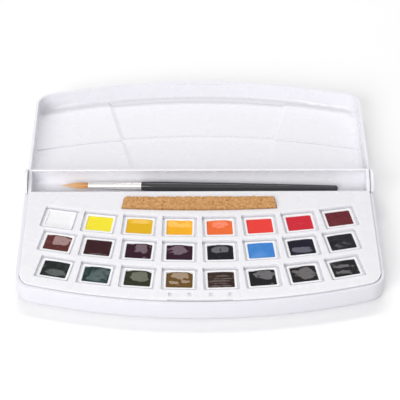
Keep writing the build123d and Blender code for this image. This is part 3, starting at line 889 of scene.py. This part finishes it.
@dataclass
class Sponge:
    """Strip of open-pored sponge in its bed between the pans and the trough.

    Attributes:
        length: Length of its front edge.
        width: Width in its middle.
        front_y: Place of its front edge.
        bow_radius: Radius of its bowed front.
        flare_deg: Lean of its two ends.
        bottom: Height of its bed.
        top: Height of its upper face.
        inset: Space to its bed's walls.
        grain: Size of the mesh's cells.
        large: Its large pores.
        small: Its small pores.
        rough: Height of its roughness.
        torn_depth: How deep its upper rear edge is torn.
        torn_back: Height of the torn band on its rear face.
        torn_top: Depth of the torn band on its upper face.
        seed: Start of the noise that shifts its pores, which else comes from the clock.
    """

    length: float = 103.0
    width: float = 11.4
    front_y: float = -27.6
    bow_radius: float = 800.0
    flare_deg: float = 8.0
    bottom: float = 14.2
    top: float = 19.0
    inset: float = 0.15
    grain: float = 0.36
    large: Pores = Pores(spacing=1.9, warp=1.0, narrow=2.1, depth=0.95)
    small: Pores = Pores(spacing=0.95, warp=0.6, narrow=2.2, depth=0.3, start=(9, 4, 2))
    rough: float = 0.3
    torn_depth: Pair = (1.25, 1.0)
    torn_back: float = 3.4
    torn_top: float = 1.6
    seed: int = 5

    def build(self) -> Piece:
        """Makes the strip with its pores and torn rear edge, and lays it in its bed."""
        strip = self.block()
        self.pores(strip)
        settle(strip, "sponge_strip")
        strip.data.materials.append(SpongeFoam().make())
        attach(strip, "sponge")
        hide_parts("sponge")
        return strip

    def block(self) -> Piece:
        """Strip cut to its plan, its front bowed and its ends leaning."""
        strip = brick(
            (self.length - 2 * self.inset, self.width - 2 * self.inset,
             self.top - self.bottom - self.inset),
            (0, self.front_y + self.width / 2, (self.bottom + self.top) / 2))
        with editing(strip):
            bpy.ops.mesh.select_all(action="SELECT")
            bpy.ops.mesh.subdivide(number_cuts=10)
        points = places(strip)
        share = (points[:, 1] / MM - self.front_y) / self.width
        lean = self.width * math.tan(math.radians(self.flare_deg)) / (self.length / 2)
        points[:, 0] *= 1 - lean * share
        rise = self.bow_radius - np.sqrt(self.bow_radius**2 - (points[:, 0] / MM) ** 2)
        points[:, 1] += rise * MM * (1 - share)
        move_to(strip, points)
        apply_modifier(strip, "REMESH", mode="VOXEL", voxel_size=self.grain * MM,
                       use_smooth_shade=True)
        return strip

    def pores(self, strip: Piece) -> None:
        """Sinks the pores, roughens the skin, tears the rear edge and notes each depth for the
        painted shade in the pores.
        """
        noise.seed_set(self.seed)
        points = places(strip)
        normals = np.zeros(len(points) * 3)
        strip.data.vertices.foreach_get("normal", normals)
        normals = normals.reshape(-1, 3)
        depth = np.array([self.depth(*both) for both in zip(points, normals)])
        moved = points - normals * (depth * MM)[:, None]
        moved[:, 2] = np.maximum(moved[:, 2], self.bottom * MM)
        move_to(strip, moved)
        # Keeps each place's depth for the painted shade inside the pores.
        shade = strip.data.attributes.new(PORE_SHADE_ATTRIBUTE, "FLOAT", "POINT")
        shade.data.foreach_set("value", np.clip((depth - 0.12) / 0.9, 0, 1).astype(np.float32))
        strip.data.update()

    def depth(self, point: np.ndarray, normal: np.ndarray) -> float:
        """How deep the skin is sunk at a point, in millimetres."""
        spot = Vector(point) / MM
        shift = noise.noise_vector(spot * 0.9) * 0.5
        open_skin = min(1.0, max(0.0, noise.noise(spot * 0.55) * 3 + 0.1))
        hole = self.large.sink(spot, shift) * open_skin
        hole += self.small.sink(spot, shift)
        sunk = hole - noise.fractal(spot * 1.7, 0.6, 2.2, 4) * self.rough
        torn = (noise.noise(Vector((spot.x * 0.32, 3.1, 0)))
                + 0.5 * noise.noise(Vector((spot.x * 0.9, 7.7, 0))))
        if normal[1] > 0.4 and point[2] > (self.top - self.torn_back) * MM:
            sunk += max(0.0, torn + 0.15) * self.torn_depth[0]
        if point[1] > (self.front_y + self.width - self.torn_top) * MM and normal[2] > 0.4:
            sunk += max(0.0, torn + 0.05) * self.torn_depth[1]
        return sunk


@dataclass
class HairTuft:
    """Pointed tuft of a round brush, hair by hair.

    Attributes:
        tip: Point of the tuft when the brush lies in its trough.
        tail: End of the handle, which gives the brush its direction.
        length: Length of the hair outside the ferrule.
        sunk: How far the hairs' roots reach into the ferrule.
        grip: Radius of the tuft at the ferrule's mouth.
        belly: How much wider the tuft's belly is.
        hairs: Number of hairs.
        hair_radius: Radius of a hair at its root.
        steps: Number of pieces along a hair.
    """

    tip: Triple = (-94.9, 1.8, 12.25)
    tail: Triple = (95.1, 0.0, 10.25)
    length: float = 19.2
    sunk: float = 1.6
    grip: float = 1.82
    belly: float = 0.36
    hairs: int = 620
    hair_radius: float = 0.085
    steps: int = 9

    def build(self) -> Piece:
        """Makes the tuft in the ferrule's mouth."""
        hair = self.one_hair()
        shape = places(hair)
        faces = [tuple(face.vertices) for face in hair.data.polygons]
        remove(hair)
        rng = random.Random(7)
        golden = math.pi * (3 - math.sqrt(5))
        points: list[np.ndarray] = []
        polygons: list[tuple[int, ...]] = []
        for index in range(self.hairs):
            share = math.sqrt((index + 0.5) / self.hairs)
            angle = index * golden + rng.uniform(-0.2, 0.2)
            points.append(self.laid(shape, share, angle, rng))
            polygons += [tuple(v + index * len(shape) for v in face) for face in faces]
        mesh = bpy.data.meshes.new("hair_tuft")
        mesh.from_pydata(np.concatenate(points).tolist(), [], polygons)
        tuft = bpy.data.objects.new("hair_tuft", mesh)
        bpy.context.scene.collection.objects.link(tuft)
        mesh.transform(self.place())
        mesh.polygons.foreach_set("use_smooth", [True] * len(mesh.polygons))
        mesh.materials.append(GoldenHair().make())
        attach(tuft, "brush")
        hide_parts("brush_hair")
        return tuft

    def place(self) -> Matrix:
        """Place of the tuft: +X from its point to the handle."""
        tip = Vector(self.tip) * MM
        along = (Vector(self.tail) * MM - tip).normalized()
        up = along.cross(Vector((0, 1, 0))).normalized()
        side = up.cross(along)
        return Matrix.Translation(tip) @ Matrix((along, side, up)).transposed().to_4x4()

    def one_hair(self) -> Piece:
        """One straight tapered hair along +Z from 0 to 1, cut into steps."""
        deselect()
        bpy.ops.mesh.primitive_cone_add(vertices=4, radius1=1, radius2=0.22, depth=1,
                                        location=(0, 0, 0.5))
        hair = bpy.context.object
        bpy.ops.object.transform_apply()
        for step in range(1, self.steps):
            with editing(hair):
                bpy.ops.mesh.select_all(action="SELECT")
                bpy.ops.mesh.bisect(plane_co=(0, 0, step / self.steps), plane_no=(0, 0, 1))
        return hair

    def outline(self, along: np.ndarray) -> np.ndarray:
        """Radius of the tuft at shares of its length from the ferrule."""
        swell = self.belly * np.sin(np.pi * np.clip(along / 0.72, 0, 1)) ** 1.2
        return (self.grip + swell) * np.clip(1 - along**2.5, 0, 1) ** 0.9 + 0.03

    def laid(self, shape: np.ndarray, share: float, angle: float,
             rng: random.Random) -> np.ndarray:
        """One hair laid in the tuft.

        Args:
            shape: The straight hair's points.
            share: How far out it starts, from 0 in the middle to 1.
            angle: Where it starts round the tuft.
            rng: Source of the small differences.

        Returns:
            Its points, with X from the tuft's point.
        """
        reach = 1 - 0.34 * share**2.2 * rng.uniform(0.5, 1.0) - 0.03 * rng.random()
        along = shape[:, 2] * reach
        out = self.outline(along) * share * (1 - 0.05 * rng.random())
        wave = 0.05 * rng.uniform(-1, 1) * np.sin(np.pi * along * rng.uniform(1, 2))
        x = self.length - along * self.length + self.sunk * (1 - shape[:, 2]) ** 8
        y = out * math.cos(angle) + wave + shape[:, 0] * self.hair_radius
        z = out * math.sin(angle) + wave * 0.5 + shape[:, 1] * self.hair_radius
        return np.stack([x, y, z], 1) * MM


@dataclass
class MouldedParts:
    """Finishes of the CAD nodes whose shape is right.

    Attributes:
        shell: Plastic of the base's tub, a darker white than the tray's and the lid's, which
            paints the shade on the tub's walls.
        tray: Plastic of the insert.
        lid: Plastic of the lid.
    """

    # The tub's white is set darker than the tray's and the lid's: painted shade for its walls.
    shell: MouldedPlastic = MouldedPlastic(
        "white_shell", linear(221, 220, 227), linear(220, 219, 226), 0.3, 0.36, 0.15)
    tray: MouldedPlastic = MouldedPlastic(
        "white_tray", linear(234, 233, 238), linear(233, 232, 237), 0.24, 0.3, 0.5)
    lid: MouldedPlastic = MouldedPlastic(
        "white_lid", linear(235, 234, 239), linear(234, 233, 238), 0.24, 0.3, 0.04)

    def build(self) -> None:
        """Dresses each node."""
        finishes = {"base_shell": self.shell, "pan_tray": self.tray, "lid_palette": self.lid,
                    "brush_handle": Lacquer(), "brush_ferrule": PlatedMetal()}
        for name, finish in finishes.items():
            material = finish.make()
            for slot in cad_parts[name].material_slots:
                slot.material = material
            LOG.info("%s: %s", name, material.name)


@dataclass
class Lamp:
    """A soft lamp aimed at the middle of the box.

    Attributes:
        name: Its name.
        place: Its place in metres.
        size: Width and height of its face in metres.
        brightness: Radiance of its face, where 1 is white.
    """

    name: str
    place: Triple
    size: Pair
    brightness: float

    def build(self) -> None:
        """Makes the lamp."""
        data = bpy.data.lights.new(self.name, "AREA")
        data.shape = "RECTANGLE"
        data.size, data.size_y = self.size
        data.energy = self.brightness * math.pi * data.size * data.size_y
        lamp = bpy.data.objects.new(self.name, data)
        lamp.location = self.place
        lamp.rotation_euler = (-Vector(self.place)).to_track_quat("-Z", "Y").to_euler()
        bpy.context.scene.collection.objects.link(lamp)


@dataclass
class Studio:
    """Camera, pale floor, white surroundings and soft lamps.

    Attributes:
        eye: Place of the camera in millimetres.
        target: Point it is aimed at in millimetres.
        roll_deg: Turn about the line of sight.
        lens: Focal length on a 36 mm sensor.
        surround: Strength of the surroundings as light.
        floor_tones: The floor's two pale tones.
        horizon: Distances in metres between which the seen floor turns white.
        horizon_glow: How much light the floor adds there for the camera.
        lamps: The lamps.
    """

    eye: Triple = (-7.318, -709.562, 663.949)
    target: Triple = (0.6445, -0.2264, 0.0)
    roll_deg: float = 0.261
    lens: float = 127.06
    surround: float = 0.51
    floor_tones: tuple[Colour, Colour] = ((0.955, 0.955, 0.958), (0.965, 0.965, 0.967))
    horizon: Pair = (0.35, 2.0)
    horizon_glow: float = 0.5
    lamps: tuple[Lamp, ...] = (
        Lamp("overhead_rear", (0.02, 0.78, 1.35), (1.1, 0.28), 8.5),
        Lamp("front_left", (-0.8, -1.45, 0.95), (1.1, 1.1), 5.9),
    )

    def build(self) -> None:
        """Makes everything in the studio."""
        self.camera()
        self.floor()
        self.surroundings()
        for lamp in self.lamps:
            lamp.build()
        bpy.context.scene.view_settings.view_transform = "Standard"
        LOG.info("studio: camera, floor, surroundings and %d lamps", len(self.lamps))

    def camera(self) -> None:
        """Makes the camera at the photograph's viewing angle."""
        eye = Vector(self.eye) * MM
        forward = (Vector(self.target) * MM - eye).normalized()
        right = forward.cross(Vector((0, 0, 1))).normalized()
        up = right.cross(forward)
        roll = math.radians(self.roll_deg)
        across = right * math.cos(roll) + up * math.sin(roll)
        upward = up * math.cos(roll) - right * math.sin(roll)
        turn = Matrix((across, upward, -forward)).transposed()
        data = bpy.data.cameras.new("camera")
        data.lens = self.lens
        data.sensor_width = 36.0
        camera = bpy.data.objects.new("camera", data)
        camera.matrix_world = Matrix.Translation(eye) @ turn.to_4x4()
        bpy.context.scene.collection.objects.link(camera)
        bpy.context.scene.camera = camera

    def floor(self) -> None:
        """Makes the pale floor, which turns white far behind the box where no lamp reaches."""
        deselect()
        bpy.ops.mesh.primitive_plane_add(size=8, location=(0, 0, -0.3 * MM))
        floor = bpy.context.object
        floor.name = "floor"
        board = NodeBoard.material("floor")
        tone = board.ranged(board.noise(per_metre=3, detail=2), low=0.0, high=1.0)
        reach = board.add("ShaderNodeVectorMath", operation="LENGTH").inputs[0]
        board.give(reach, board.coordinates)
        far = board.ranged(reach.node.outputs["Value"], 0.0, self.horizon_glow, *self.horizon)
        seen = board.add("ShaderNodeLightPath").outputs["Is Camera Ray"]
        board.shade(
            Base_Color=board.blend(tone, *self.floor_tones), Roughness=1.0,
            Specular_IOR_Level=0.0, Emission_Color=(1, 1, 1, 1),
            Emission_Strength=board.combine(Sum.MULTIPLY, far, seen))
        floor.data.materials.append(board.owner)

    def surroundings(self) -> None:
        """Makes the surroundings, full white where the camera or a reflection sees them."""
        board = NodeBoard(bpy.data.worlds.new("surroundings"), "Background")
        path = board.add("ShaderNodeLightPath")
        seen = path.outputs["Is Camera Ray"]
        for name in ("Is Glossy Ray", "Is Transmission Ray"):
            seen = board.combine(Sum.GREATER, seen, path.outputs[name])
        board.shade(Color=(1, 1, 1, 1),
                    Strength=board.ranged(seen, self.surround, 1.0, start=0.0, end=1.0))
        bpy.context.scene.world = board.owner


def main() -> None:
    """Builds the scene in order and reports each piece."""
    logging.basicConfig(level=logging.INFO, format="%(message)s")
    Studio().build()
    MouldedParts().build()
    PaintRows().build()
    tell(Sponge().build())
    tell(HairTuft().build())


if __name__ == "__main__":
    main()
